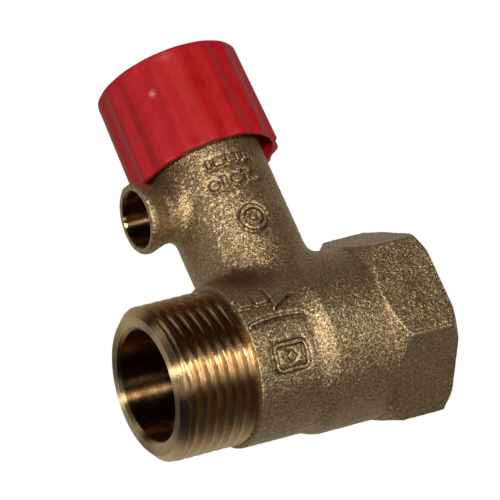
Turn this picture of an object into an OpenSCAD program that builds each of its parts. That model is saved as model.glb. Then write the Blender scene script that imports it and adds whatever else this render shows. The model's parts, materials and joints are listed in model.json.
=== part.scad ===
// Pressure relief valve with built-in check valve and twist-to-test cap.
// Units: millimetres. Origin: on the main run axis, 1.6 mm inside the female end
// face. +X runs along the main run out of the female end, -X out of the male end.
// +Z runs up the branch to the cap. The discharge spout points to -X.
// The parts are drawn around the point where the branch axis crosses the main
// run axis, and place() moves them.

/* [Main run] */
// Distance from the branch axis to the male end face
male_len = 27; // [26:0.5:30]
// Distance from the branch axis to the female end face
female_len = 24; // [24:0.5:28]
// Outside radius of the male pipe thread
male_r = 13.22; // [13.1:0.02:13.24]
// Crest radius of the female pipe thread
female_r = 12.06; // [12.06:0.02:12.2]
// Length of the male thread, face to shoulder
male_thread_len = 14.2; // [12:0.2:14.8]
// Thread pitch of both pipe threads
pitch = 1.814; // [1.814:0.001:1.815]
// Radius of the bore at the male end
bore_r = 9.55; // [8.8:0.05:9.6]
// Barrel radius next to the male thread
barrel_r1 = 14.04; // [13.8:0.02:14.2]
// Barrel radius in the middle
barrel_r2 = 14.95; // [14.8:0.05:15]
// Hexagon size across flats
hex_af = 30.1; // [30:0.1:31]

/* [Branch and spout] */
// Outside radius of the branch
branch_r = 10.04; // [9.8:0.02:10.2]
// Height of the cast branch wall, which ends inside the cap
branch_h = 38.6; // [38:0.1:38.8]
// Height of the discharge spout axis
spout_z = 29.5; // [29:0.1:29.6]
// Reach of the discharge spout mouth from the branch axis
spout_len = 16.15; // [15.5:0.05:18]
// Discharge bore radius
spout_bore_r = 4.78; // [4:0.02:4.8]
// Spout mouth outside radius
spout_r = 6.04; // [5.8:0.02:6.2]
// Spout root outside radius
spout_root_r = 5.2; // [5:0.05:5.4]

/* [Relief seat and spring] */
// Radius of the relief orifice
orifice_r = 3.25; // [2.8:0.05:3.3]
// Height of the relief seat
seat_z = 17; // [17:0.1:17.1]
// Radius of the spring chamber
chamber_r = 7; // [6.9:0.05:7.1]
// Spindle radius
stem_r = 3; // [2.98:0.01:3]
// Relief spring wire diameter
spring_wire = 1.5; // [1.3:0.1:1.6]

/* [Cap] */
// Height of the cap rim above the main run axis
cap_z0 = 35.1; // [35.1:0.1:35.3]
// Height of the cap top above the main run axis
cap_z1 = 53.6; // [53.5:0.1:54.5]
// Cap radius over the ridges at the top
cap_r_top = 12.75; // [12.6:0.05:12.9]
// Cap radius over the ridges at the rim
cap_r_rim = 13.15; // [13.0:0.05:13.3]
// Number of grip flutes around the cap
cap_flutes = 16; // [12:1:18]
// Depth of a grip flute at the rim
flute_depth = 0.5; // [0.3:0.05:0.6]
// Depth of a grip flute at the top
flute_top = 0.25; // [0.2:0.05:0.5]
// Height the cap rises over a quarter turn
cam_rise = 1.6; // [1.4:0.1:1.6]

/* [Hidden] */

origin_inset = 1.6;          // origin to female end face
gap = 0.02;                  // between pieces that bear on each other
slide_gap = 0.04;            // around a sliding stem

// Main run and pipe threads
male_x = -male_len;
shoulder_x = male_x + male_thread_len;
hex_x0 = 12.5;               // where the hexagon starts to rise from the barrel
hex_overlap = 0.2;           // hexagon starts this far before hex_x0
thread_depth = 1.162;        // depth of the 55 degree pipe thread
thread_mouth = 0.755;        // half width of a thread groove at its mouth
thread_root = 0.15;          // half width of a thread groove at its root

// Check cartridge
cart_r = 10.5;               // cartridge bore
cart_part_r = cart_r - 0.05; // outside radius of the parts in that bore
cart_x = -9;                 // shoulder the cartridge rests on
check_oring_x = -6.7;        // middle of the O-ring groove
seat_end_x = -4;
poppet_face_x = -2.7;        // poppet flange, side towards the seat
poppet_back_x = -1.4;        // poppet flange, side towards the spring
guide_r = 1.82;              // poppet stem
arm_x = 6.2;                 // near side of the spider arms
cage_end_x = 8.2;
retain_x = 8.3;              // near side of the retaining ring
retain_t = 1.0;
retain_r = 11.2;
retain_gap = 0.06;           // ring to each side of its groove

// Branch, relief parts and bonnet
branch_base_z = 5;
chamber_floor_z = seat_z - 1.5;
neck_r = 9.6;                // machined top of the branch
neck_z = 39.2;               // top face of the branch
neck_thread_r = 7.46;        // crest of the thread in the branch
neck_thread_z = 35.8;        // middle of the lowest turn, branch and bonnet
neck_thread_turns = 3;
neck_thread_pitch = 1;
disc_t = 2.0;
disc_washer_t = 0.5;
holder_shoulder_z = seat_z + 3.5;   // relief spring stands here
spring_washer_z = 34;
spring_washer_t = 0.7;
bonnet_root_r = 7.4;
bonnet_flange_z = 40;
bonnet_hub_z = 41;
bonnet_top_z = 42.5;
peg_ring_r = 7;              // circle of the three cam ring pegs

// Cam and cap
ramp_valley_z = 43.5;        // low point of the cam ramps
ramp_angle = 90;
ramp_steps = 15;
lug_gap = 0.08;
lug_half = 4;                // half width of a cap lug in degrees
floor_z = 45.5;              // underside of the cap floor
nut_recess_z = 47.3;
nut_z = 48;
nut_h = 2.3;
nut_bore_r = 2.49;
plug_z = 52.3;
plug_r = 7.5;
flute_r = 4.2;
flute_turn = 21.55;          // angle of the first flute

// Shared colours
brass = [0.76, 0.64, 0.36];
steel = [0.72, 0.73, 0.74];
dull_steel = [0.7, 0.71, 0.72];
spring_steel = [0.75, 0.76, 0.78];
black_plastic = [0.12, 0.12, 0.13];
black_rubber = [0.1, 0.1, 0.1];
cap_red = [0.72, 0.07, 0.09];

// ---- helpers: $fn is passed at each call -------------------------------

// move a part from the branch axis to the frame's origin
module place() { translate([origin_inset - female_len, 0, 0]) children(); }

// lay a part drawn along Z on the main run; its own +X then points down
module along_x() { rotate([0, 90, 0]) children(); }

// lay a part drawn along Z on the spout axis
module along_spout() { translate([0, 0, spout_z]) rotate([0, -90, 0]) children(); }

// solid of revolution from [radius, height] points
module turned(points) { rotate_extrude() polygon(points); }

// cylinder standing on height z
module rod(z, radius, height) { translate([0, 0, z]) cylinder(r = radius, h = height); }

module ring(radius, height, hole_r, hole_fn, hole_h = 3) {
    difference() {
        cylinder(r = radius, h = height);
        rod(-1, hole_r, hole_h, $fn = hole_fn);
    }
}

module oring(z, mean_r, section_r) {
    translate([0, 0, z]) rotate_extrude() translate([mean_r, 0])
        circle(r = section_r, $fn = 32);
}

module three_around() { for (a = [0 : 120 : 240]) rotate([0, 0, a]) children(); }
module four_around() { for (a = [45 : 90 : 315]) rotate([0, 0, a]) children(); }

// [radius, height] points of a row of thread grooves or ridges; z is the middle
// of the first, a negative step runs downwards, a negative depth runs inwards
function thread(radius, z, turns, step, depth, mouth, root) =
    [for (k = [0 : turns - 1])
        for (p = [[0, -mouth], [depth, -root], [depth, root], [0, mouth]])
            [radius + p[0], z + k * step + sign(step) * p[1]]];

function neck_thread(radius, depth, mouth, root) =
    thread(radius, neck_thread_z, neck_thread_turns, neck_thread_pitch, depth, mouth, root);

// side faces joining successive sections; with as many steps as sections the
// last section joins the first
function skin_faces(sections, steps, sides) =
    [for (i = [0 : steps - 1]) for (j = [0 : sides - 1])
        let (here = i * sides, next = (i + 1) % sections * sides, k = (j + 1) % sides)
        for (face = [[here + j, here + k, next + k], [here + j, next + k, next + j]]) face];

// ---- valve body --------------------------------------------------------

// main run outside, [r, x], male end to middle
body_outer = concat(
    [[0, male_x], [11.8, male_x], [male_r, male_x + 1.42]],
    thread(male_r, male_x + 2.62, 6, pitch, -thread_depth, thread_mouth, thread_root),
    // thread relief and shoulder
    [[male_r, shoulder_x - 1.0], [male_r - 0.5, shoulder_x - 0.5], [male_r - 0.5, shoulder_x],
     [barrel_r1 - 0.3, shoulder_x], [barrel_r1, shoulder_x + 0.3],
     [barrel_r1, -2], [barrel_r2, 2.3], [barrel_r2, 16], [0, 16]]);

// chamfered envelope of the hexagon, [r, x]
hex_envelope = [
    [0, hex_x0 - hex_overlap], [14.6, hex_x0 - hex_overlap], [17.6, 14.9],
    [17.6, female_len - 1.1], [15.97, female_len], [0, female_len]];

// main run inside, [r, x], female end to male end
run_cut = concat(
    [[0, female_len + 1], [13.9, female_len + 1], [13.9, female_len],
     [female_r, female_len - 1.5]],
    thread(female_r, female_len - 2.7, 5, -pitch, thread_depth, thread_mouth, thread_root),
    // undercut behind the thread
    [[female_r, 12.1], [13.3, 12.1], [13.3, 10.9], [12.4, 10.4], [cart_r, 10.4]],
    // retaining ring groove
    [[cart_r, retain_x + retain_t + retain_gap],
     [retain_r + 0.05, retain_x + retain_t + retain_gap],
     [retain_r + 0.05, retain_x - retain_gap], [cart_r, retain_x - retain_gap]],
    // cartridge shoulder and male end bore
    [[cart_r, cart_x], [bore_r, cart_x], [bore_r, male_x + 0.5], [bore_r + 0.5, male_x],
     [bore_r + 0.5, male_x - 1], [0, male_x - 1]]);

// spout outside, [r, distance from the branch axis]
spout_outer = [
    [0, 2], [spout_root_r + 0.6, 2], [spout_root_r + 0.6, 8.6], [spout_root_r, 10.6],
    [spout_root_r + 0.1, spout_len - 3.3], [spout_r + 0.1, spout_len - 1.1],
    [spout_r + 0.2, spout_len - 0.75], [spout_r, spout_len - 0.1],
    [spout_r - 0.1, spout_len], [0, spout_len]];

// branch inside, [r, z]: orifice, raised seat, chamber, bonnet thread
branch_cut = concat(
    [[0, 8], [orifice_r, 8], [orifice_r, seat_z], [orifice_r + 1.0, seat_z],
     [orifice_r + 1.6, chamber_floor_z], [chamber_r, chamber_floor_z],
     [chamber_r, 34.75], [neck_thread_r, 35.0]],
    neck_thread(neck_thread_r, 0.58, 0.42, 0.12),
    [[neck_thread_r, 38.7], [neck_thread_r + 0.5, neck_z], [neck_thread_r + 0.5, neck_z + 1],
     [0, neck_z + 1]]);

module hex_end() {
    intersection() {
        along_x() rod(hex_x0 - hex_overlap, hex_af / 2 / cos(30),
                      female_len - hex_x0 + hex_overlap, $fn = 6);
        along_x() turned(hex_envelope, $fn = 96);
    }
}

// Raised marks. The marks start below the surface, at these radii.
barrel_mark_r = 12.6;
branch_mark_r = 8.8;
branch_ring_r = 8.6;
mark_h = 1.85;
branch_mark_h = 1.65;
branch_ring_at = [20.8, -95.7];   // z, angle from +X
frame_at = [-6.5, -25];           // x, angle up from -Y
arrow_x = -7.2;
arrow_half = 4.8;

// local frame: X along the run, Y up around the barrel, Z outward
module on_barrel(x, angle) {
    rotate([90 - angle, 0, 0]) translate([x, 0, barrel_mark_r]) children();
}

// local frame: X around the branch, Y up, Z outward
module on_branch(z, angle, radius) {
    rotate([0, 0, angle + 90]) translate([0, 0, z]) rotate([90, 0, 0])
        translate([0, 0, radius]) children();
}

module barrel_marks() {
    // arrow pointing to +X, with a bar below it
    on_barrel(arrow_x, 18) linear_extrude(mark_h)
        polygon([[-arrow_half, -0.7], [1.2, -0.7], [1.2, -1.9], [arrow_half, 0],
                 [1.2, 1.9], [1.2, 0.7], [-arrow_half, 0.7]]);
    on_barrel(arrow_x, 3) translate([-arrow_half, -0.35, 0])
        cube([2 * arrow_half, 0.7, 1.75]);
    // rectangular frame around a diamond
    on_barrel(frame_at[0], frame_at[1]) linear_extrude(mark_h) difference() {
        square([5.8, 4.3], center = true);
        square([4.5, 3.0], center = true);
    }
    on_barrel(frame_at[0], frame_at[1]) linear_extrude(mark_h)
        polygon([[-1.2, 0], [0, -0.9], [1.2, 0], [0, 0.9]]);
}

module branch_marks() {
    // a row of bars, a row of dots, and a ring around a dot
    for (i = [-2 : 2]) on_branch(32.3, -95 + i * 9, branch_mark_r)
        translate([-0.35, -0.8, 0]) cube([0.7, 1.6, branch_mark_h]);
    for (i = [-2 : 2]) on_branch(28.4, -95 + i * 11, branch_mark_r)
        cylinder(r = 0.7, h = branch_mark_h, $fn = 24);
    on_branch(branch_ring_at[0], branch_ring_at[1], branch_ring_r)
        ring(2.4, mark_h, 1.6, 48, hole_h = 4, $fn = 48);
    on_branch(branch_ring_at[0], branch_ring_at[1], branch_ring_r)
        cylinder(r = 0.6, h = mark_h, $fn = 24);
}

module valve_body() {
    color([0.66, 0.55, 0.34]) place() difference() {
        union() {
            along_x() turned(body_outer, $fn = 96);
            hex_end();
            rod(branch_base_z, branch_r, branch_h - branch_base_z, $fn = 96);
            rod(branch_h - 1, neck_r, neck_z - branch_h + 1, $fn = 96);
            along_spout() turned(spout_outer, $fn = 72);
            barrel_marks();
            branch_marks();
        }
        along_x() turned(run_cut, $fn = 96);
        turned(branch_cut, $fn = 72);
        // discharge bore: a small hole into the chamber, wider towards the mouth
        along_spout() cylinder(r = 4.2, h = 30, $fn = 72);
        along_spout() rod(7.9, spout_bore_r, 20, $fn = 72);
    }
}

// ---- check valve cartridge ---------------------------------------------

module check_seat() {
    groove_r = 9.05;
    groove_x0 = check_oring_x - 1;
    groove_x1 = check_oring_x + 1;
    color(black_plastic) place() along_x() turned([
        [7.4, cart_x + 0.03], [9.9, cart_x + 0.03], [cart_part_r, cart_x + 0.5],
        [cart_part_r, groove_x0], [groove_r, groove_x0],
        [groove_r, groove_x1], [cart_part_r, groove_x1],
        [cart_part_r, -4.1], [9.3, -4.1], [9.3, seat_end_x], [7.0, seat_end_x], [7.0, -8]],
        $fn = 96);
}

module check_oring() {
    color(black_rubber) place() along_x() oring(check_oring_x, 9.77, 0.69, $fn = 96);
}

module check_cage() {
    inner_r = 9.35;      // inside the legs and the ring at the seat
    end_ring_x = 6;
    hub_x = 3.6;
    arm_w = 1.6;
    color([0.85, 0.85, 0.82]) place() union() {
        // ring at the seat
        along_x() difference() {
            rod(-4.05, cart_part_r, 2.05, $fn = 96);
            rod(-5, inner_r, 5, $fn = 96);
        }
        // ring at the retainer
        along_x() difference() {
            rod(end_ring_x, cart_part_r, cage_end_x - end_ring_x, $fn = 96);
            rod(5, 9.0, 5, $fn = 96);
        }
        // hub guiding the poppet stem
        along_x() difference() {
            rod(hub_x, 3.5, cage_end_x - hub_x, $fn = 64);
            rod(0, guide_r + slide_gap, 12, $fn = 48);
        }
        // four legs, on the diagonals
        intersection() {
            along_x() four_around() translate([9.9, 0, 2.3]) cube([2.4, 3.2, 9], center = true);
            along_x() difference() {
                rod(-3, cart_part_r, 11, $fn = 96);
                rod(-4, inner_r, 14, $fn = 96);
            }
        }
        // spider arms
        along_x() four_around() translate([3, -arm_w / 2, arm_x])
            cube([6.6, arm_w, cage_end_x - arm_x]);
    }
}

module check_poppet() {
    flange_r = 8.7;
    color(black_plastic) place() along_x() turned([
        [0, -5.2], [3.2, -5.0], [6.2, -4.4], [6.6, -4.1], [6.6, poppet_face_x],
        [flange_r, poppet_face_x], [flange_r, poppet_back_x], [3.0, poppet_back_x],
        [guide_r, -0.7], [guide_r, 8.0], [1.5, 8.4], [0, 8.4]],
        $fn = 96);
}

module check_seal() {
    inner_r = 6.65;
    x0 = seat_end_x + gap;
    x1 = poppet_face_x - gap;
    color([0.18, 0.17, 0.16]) place() along_x()
        turned([[inner_r, x0], [8.4, x0], [8.6, -3.75], [8.6, x1], [inner_r, x1]], $fn = 96);
}

// open ring with its slot and two drilled ears at the top
module check_retainer() {
    ear_angles = [180 - 18, 180 + 18];
    cut_x = 8;
    color(dull_steel) place() along_x() difference() {
        union() {
            difference() {
                rod(retain_x, retain_r, retain_t, $fn = 96);
                rod(cut_x, 9.7, 2, $fn = 96);
            }
            for (a = ear_angles) rotate([0, 0, a]) translate([9.2, 0, retain_x])
                cylinder(r = 1.5, h = retain_t, $fn = 36);
        }
        translate([-15, -1.1, cut_x]) cube([10, 2.2, 2]);
        for (a = ear_angles) rotate([0, 0, a]) translate([8.9, 0, cut_x])
            cylinder(r = 0.7, h = 2, $fn = 24);
    }
}

// ---- coil springs ------------------------------------------------------

coil_turns = 5.5;
end_turns = 0.9;       // closed turns at each end
closed_pitch = 1.02;   // pitch of a closed turn, in wire diameters

// height of the wire centre after a number of turns
function coil_z(turn, wire, height) =
    let (closed_h = end_turns * wire * closed_pitch,
         open_h = height - wire - 2 * closed_h,
         open_turns = coil_turns - 2 * end_turns)
    turn < end_turns ? wire / 2 + turn * wire * closed_pitch
    : turn > coil_turns - end_turns
        ? height - wire / 2 - (coil_turns - turn) * wire * closed_pitch
    : wire / 2 + closed_h + (turn - end_turns) / open_turns * open_h;

// turn_steps: sections per turn; sides: corners of the wire section
module coil(mean_r, wire, height, turn_steps, sides) {
    steps = floor(coil_turns * turn_steps);
    points = [for (i = [0 : steps]) for (j = [0 : sides - 1])
        let (turn = coil_turns * i / steps, angle = 360 * turn, around = 360 * j / sides,
             radius = mean_r + wire / 2 * cos(around))
        [radius * cos(angle), radius * sin(angle),
         coil_z(turn, wire, height) + wire / 2 * sin(around)]];
    ends = [[for (j = [sides - 1 : -1 : 0]) j], [for (j = [0 : sides - 1]) steps * sides + j]];
    polyhedron(points = points, faces = concat(skin_faces(steps + 1, steps, sides), ends),
               convexity = 8);
}

module check_spring() {
    color(spring_steel) place() along_x() translate([0, 0, poppet_back_x + gap])
        coil(mean_r = 4.3, wire = 0.7, height = arm_x - poppet_back_x - 2 * gap,
             turn_steps = 20, sides = 6);
}

module relief_spring() {
    color(spring_steel) place() translate([0, 0, holder_shoulder_z + gap])
        coil(mean_r = 5.5, wire = spring_wire,
             height = spring_washer_z - holder_shoulder_z - 2 * gap,
             turn_steps = 22, sides = 8);
}

// ---- relief valve ------------------------------------------------------

module relief_disc() {
    inner_r = 1.65;
    outer_r = 5.15;
    z0 = seat_z + gap;
    z1 = seat_z + disc_t;
    color([0.12, 0.12, 0.12]) place()
        turned([[inner_r, z0], [outer_r, z0], [outer_r, z1], [inner_r, z1]], $fn = 72);
}

module disc_washer() {
    color(steel) place() translate([0, 0, seat_z - disc_washer_t])
        ring(2.7, disc_washer_t, 1.6, 36, $fn = 48);
}

// slotted screw, head down
module disc_screw() {
    head_z = seat_z - 2;
    color(steel) place() difference() {
        union() {
            rod(head_z, 2.4, seat_z - disc_washer_t - gap - head_z, $fn = 48);
            rod(seat_z - 1, 1.5, 7.4, $fn = 36);
        }
        translate([-3, -0.3, head_z - 1]) cube([6, 0.6, 1.6]);
    }
}

// cup over the disc, with a socket for the spindle above
module disc_holder() {
    cup_r = 5.2;
    socket_r = 3.05;
    screw_hole_r = 1.55;
    color([0.74, 0.62, 0.34]) place() turned([
        [cup_r, seat_z + 0.7], [5.9, seat_z + 0.7], [6.75, seat_z + 1.4],
        [6.75, holder_shoulder_z], [4.6, holder_shoulder_z],
        [4.4, seat_z + 6], [socket_r, seat_z + 6], [socket_r, seat_z + 4.4],
        [screw_hole_r, seat_z + 4.4], [screw_hole_r, seat_z + disc_t + 0.03],
        [cup_r, seat_z + disc_t + 0.03]],
        $fn = 72);
}

// the lower end sits in the disc holder, the top carries the nut
module relief_stem() {
    bottom_z = seat_z + 4.45;
    top_z = 50.5;
    top_r = 2.45;
    color(brass) place() difference() {
        turned([[0, bottom_z], [2.8, bottom_z], [stem_r, bottom_z + 0.2], [stem_r, 45.0],
                [top_r, 45.6], [top_r, top_z - 0.3], [top_r - 0.3, top_z], [0, top_z]],
               $fn = 72);
        rod(seat_z + 4, 1.54, 3.2, $fn = 36);
    }
}

module spring_washer() {
    color(dull_steel) place() translate([0, 0, spring_washer_z])
        ring(6.9, spring_washer_t, 3.3, 48, $fn = 72);
}

module bonnet() {
    bottom_z = spring_washer_z + spring_washer_t + gap;
    plug_top_z = 40.4;
    color(brass) place() difference() {
        union() {
            // threaded plug
            turned(concat(
                [[0, bottom_z], [6.85, bottom_z], [bonnet_root_r, 35.3]],
                neck_thread(bonnet_root_r, 0.52, 0.28, 0.05),
                [[bonnet_root_r, plug_top_z], [0, plug_top_z]]),
                $fn = 72);
            // hexagon flange and hub
            rod(bonnet_flange_z, 9.8, bonnet_top_z - bonnet_flange_z, $fn = 6);
            rod(bonnet_hub_z, 5.2, 44.2 - bonnet_hub_z, $fn = 72);
        }
        rod(30, stem_r + slide_gap, 20, $fn = 72);
        // O-ring groove
        rod(37.2, 4.5, 1.9, $fn = 72);
        // sockets for the three pegs of the cam ring
        three_around() translate([peg_ring_r, 0, bonnet_top_z - 1.3])
            cylinder(r = 0.85, h = 2, $fn = 24);
    }
}

module bonnet_gasket() {
    color([0.3, 0.3, 0.28]) place() translate([0, 0, neck_z + gap / 2])
        ring(9.4, bonnet_flange_z - neck_z - gap, 8.0, 72, $fn = 72);
}

module stem_oring() {
    color(black_rubber) place() oring(38.15, 3.76, 0.71, $fn = 72);
}

// one 120 degree sector of the cam top: [angle, height above the valley]
cam_sector = concat(
    [[-9, 0], [lug_half, 0]],
    [for (i = [1 : ramp_steps])
        [lug_half + i * ramp_angle / ramp_steps, cam_rise * i / ramp_steps]],
    [[105, cam_rise], [110.5, 0]]);
cam_rows = [for (sector = [0 : 2]) for (row = cam_sector) [row[0] + 120 * sector, row[1]]];

module cam_ring() {
    inner_r = 5.3;
    outer_r = 8.7;
    base_z = bonnet_top_z + gap;
    count = len(cam_rows);
    points = [for (row = cam_rows) let (top_z = ramp_valley_z + row[1])
        for (p = [[inner_r, base_z], [outer_r, base_z], [outer_r, top_z], [inner_r, top_z]])
            [p[0] * cos(row[0]), p[0] * sin(row[0]), p[1]]];
    color([0.86, 0.86, 0.84]) place() union() {
        polyhedron(points = points, faces = skin_faces(count, count, 4), convexity = 6);
        three_around() translate([peg_ring_r, 0, bonnet_top_z - 1.2])
            cylinder(r = 0.8, h = 1.8, $fn = 24);
    }
}

// ---- cap ---------------------------------------------------------------

// cap without recesses and flutes, [r, z]
cap_outline = [
    [0, floor_z], [8.6, floor_z], [8.6, 51.6], [11.55, 51.6],
    [11.95, cap_z0 + 0.2], [12.0, cap_z0],
    [cap_r_rim - 0.15, cap_z0], [cap_r_rim, cap_z0 + 0.2],
    [cap_r_top, cap_z1 - 0.6], [cap_r_top - 0.6, cap_z1], [0, cap_z1]];

// lug that rides on the cam ramps
module cap_lug() {
    bottom_z = ramp_valley_z + lug_gap;
    wedge_r = 12;
    intersection() {
        translate([5.6, -3, bottom_z]) cube([2.9, 6, floor_z + 0.5 - bottom_z]);
        // wedge of the lug's own angle
        linear_extrude(60) polygon([
            [0, 0], [wedge_r * cos(lug_half), -wedge_r * sin(lug_half)],
            [wedge_r, 0], [wedge_r * cos(lug_half), wedge_r * sin(lug_half)]]);
    }
}

module grip_flutes() {
    draft = atan((cap_r_rim - flute_depth - cap_r_top + flute_top) / (cap_z1 - cap_z0));
    for (i = [0 : cap_flutes - 1]) rotate([0, 0, flute_turn + i * 360 / cap_flutes])
        translate([cap_r_rim + flute_r - flute_depth, 0, cap_z0]) rotate([0, -draft, 0])
            rod(-2, flute_r, 24, $fn = 64);
}

module cap() {
    color(cap_red) place() union() {
        difference() {
            turned(cap_outline, $fn = 96);
            // recess for nut and washer, seat of the top plug, spindle hole
            rod(nut_recess_z, 6.6, 10, $fn = 72);
            rod(plug_z - gap, plug_r + gap, 4, $fn = 72);
            rod(40, stem_r + 0.3, 20, $fn = 72);
            grip_flutes();
        }
        three_around() cap_lug();
        // index pip on the skirt
        rotate([0, 0, -133.2]) translate([11.6, 0, 47.3]) rotate([0, 90, 0])
            cylinder(r = 0.7, h = 1.05, $fn = 24);
    }
}

module cap_washer() {
    bottom_z = nut_recess_z + gap;
    color(steel) place() translate([0, 0, bottom_z])
        ring(6.3, nut_z - gap - bottom_z, 2.6, 48, $fn = 72);
}

// hexagon nut, corners chamfered top and bottom
module cap_nut() {
    face_r = 4.3;
    chamfer = 0.4;
    side_r = face_r + chamfer;
    color(brass) place() difference() {
        translate([0, 0, nut_z]) intersection() {
            cylinder(r = 4.62, h = nut_h, $fn = 6);
            turned([[0, 0], [face_r, 0], [side_r, chamfer], [side_r, nut_h - chamfer],
                    [face_r, nut_h], [0, nut_h]], $fn = 48);
        }
        rod(40, nut_bore_r, 20, $fn = 48);
    }
}

// top plug with a cross slot
module cap_plug() {
    color(cap_red) place() difference() {
        rod(plug_z, plug_r, 1.2, $fn = 72);
        for (a = [0, 90]) rotate([0, 0, a])
            translate([-2.4, -0.4, plug_z + 0.8]) cube([4.8, 0.8, 1]);
    }
}

valve_body();
check_seat();
check_oring();
check_cage();
check_poppet();
check_seal();
check_spring();
check_retainer();
relief_disc();
disc_washer();
disc_screw();
disc_holder();
relief_stem();
relief_spring();
spring_washer();
bonnet();
bonnet_gasket();
stem_oring();
cam_ring();
cap();
cap_washer();
cap_nut();
cap_plug();
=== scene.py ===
"""Pressure relief valve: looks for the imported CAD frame. Built in millimetres around the
branch axis, then moved into the row frame (metres)."""
import json
import math
import bpy
import numpy as np
from mathutils import Matrix, Vector

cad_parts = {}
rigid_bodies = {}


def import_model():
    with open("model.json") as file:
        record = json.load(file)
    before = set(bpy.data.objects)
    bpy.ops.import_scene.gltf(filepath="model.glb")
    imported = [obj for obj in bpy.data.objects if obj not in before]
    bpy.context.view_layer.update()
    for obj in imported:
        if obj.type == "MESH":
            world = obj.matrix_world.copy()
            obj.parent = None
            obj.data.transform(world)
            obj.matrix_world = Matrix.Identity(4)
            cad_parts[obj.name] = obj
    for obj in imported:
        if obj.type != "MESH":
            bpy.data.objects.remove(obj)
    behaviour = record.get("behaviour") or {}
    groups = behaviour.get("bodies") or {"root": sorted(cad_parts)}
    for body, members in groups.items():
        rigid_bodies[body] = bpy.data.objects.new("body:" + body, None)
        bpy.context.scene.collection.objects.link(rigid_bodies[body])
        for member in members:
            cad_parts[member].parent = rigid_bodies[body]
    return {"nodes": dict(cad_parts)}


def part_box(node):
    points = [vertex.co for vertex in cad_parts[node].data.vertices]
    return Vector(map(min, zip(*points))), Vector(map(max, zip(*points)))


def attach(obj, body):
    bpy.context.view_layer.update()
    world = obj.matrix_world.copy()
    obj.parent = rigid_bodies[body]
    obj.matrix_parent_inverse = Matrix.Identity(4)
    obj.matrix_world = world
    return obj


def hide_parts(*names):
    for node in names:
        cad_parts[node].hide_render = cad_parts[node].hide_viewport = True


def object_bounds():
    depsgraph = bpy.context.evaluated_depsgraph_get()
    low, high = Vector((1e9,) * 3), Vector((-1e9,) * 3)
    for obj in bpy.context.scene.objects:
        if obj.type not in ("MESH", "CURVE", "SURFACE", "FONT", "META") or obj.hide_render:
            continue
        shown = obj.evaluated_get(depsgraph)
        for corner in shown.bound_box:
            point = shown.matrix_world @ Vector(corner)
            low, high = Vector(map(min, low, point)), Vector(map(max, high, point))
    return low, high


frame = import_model()
cad_lo, cad_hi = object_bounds()
slo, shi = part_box("relief_stem")
BX = (slo[0] + shi[0]) / 2 * 1000.0  # x of the branch axis in the row frame, mm

# main sizes, mm, around the branch axis (the same numbers as the CAD)
MALE_X, FEM_X = -27.0, 24.0
SHOULDER = -12.8
R1, R2 = 14.04, 14.95
RM, RF, PITCH, TDEPTH = 13.22, 12.06, 1.814, 1.162
BR, BTOP, NECK_R, NECK_Z = 10.04, 38.6, 9.6, 39.2
SPZ, SPL, SPB = 29.5, 16.15, 4.78
HEXH = 15.05


# ---------------------------------------------------------------- mesh helpers

def make_mesh(name, verts, quads=(), tris=()):
    quads = np.asarray(quads, np.int32).reshape(-1, 4)
    tris = np.asarray(tris, np.int32).reshape(-1, 3)
    me = bpy.data.meshes.new(name)
    verts = np.asarray(verts, np.float32)
    me.vertices.add(len(verts))
    me.vertices.foreach_set("co", verts.ravel())
    loops = np.concatenate([quads.ravel(), tris.ravel()])
    me.loops.add(len(loops))
    me.loops.foreach_set("vertex_index", loops)
    starts = np.concatenate([np.arange(len(quads)) * 4, len(quads) * 4 + np.arange(len(tris)) * 3])
    me.polygons.add(len(starts))
    me.polygons.foreach_set("loop_start", starts.astype(np.int32))
    me.update(calc_edges=True)
    me.validate()
    ob = bpy.data.objects.new(name, me)
    bpy.context.scene.collection.objects.link(ob)
    return ob


def volume_sign(verts, quads, tris):
    v = np.asarray(verts, float)
    tot = 0.0
    for a, b, c in ((0, 1, 2), (0, 2, 3)):
        if len(quads):
            q = np.asarray(quads)
            tot += np.einsum("ij,ij->i", v[q[:, a]], np.cross(v[q[:, b]], v[q[:, c]])).sum()
    if len(tris):
        t = np.asarray(tris)
        tot += np.einsum("ij,ij->i", v[t[:, 0]], np.cross(v[t[:, 1]], v[t[:, 2]])).sum()
    return tot


def revolve(name, axis, pos, rad, n=192, closed=False, at=(0.0, 0.0, 0.0)):
    """Surface of revolution. pos: stations along the axis, rad: radii (stations,) or (stations, n).
    Open profiles are capped at both ends; closed ones make a ring."""
    pos = np.asarray(pos, float)
    rad = np.asarray(rad, float)
    if rad.ndim == 1:
        rad = np.repeat(rad[:, None], n, 1)
    th = np.arange(n) * 2 * math.pi / n
    c, s = rad * np.cos(th), rad * np.sin(th)
    p = np.repeat(pos[:, None], n, 1)
    if axis == "x":
        v = np.stack([p, -c, s], -1)
    elif axis == "-x":
        v = np.stack([-p, c, s], -1)
    else:
        v = np.stack([c, s, p], -1)
    m = len(pos)
    v = v.reshape(-1, 3) + np.asarray(at)
    i, j = np.meshgrid(np.arange(m if closed else m - 1), np.arange(n), indexing="ij")
    i2, j2 = (i + 1) % m, (j + 1) % n
    quads = np.stack([i * n + j, i * n + j2, i2 * n + j2, i2 * n + j], -1).reshape(-1, 4)
    tris = []
    if not closed:
        base = len(v)
        ends = []
        for k, row in ((0, 0), (1, m - 1)):
            ends.append(v[row * n:(row + 1) * n].mean(0))
            jj = np.arange(n)
            a, b = row * n + jj, row * n + (jj + 1) % n
            cc = np.full(n, base + k)
            tris.append(np.stack([cc, b, a] if k == 0 else [cc, a, b], -1))
        v = np.vstack([v, ends])
        tris = np.vstack(tris)
    if volume_sign(v, quads, tris) < 0:
        quads = quads[:, ::-1]
        tris = tris[:, ::-1] if len(tris) else tris
    return make_mesh(name, v, quads, tris)


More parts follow.
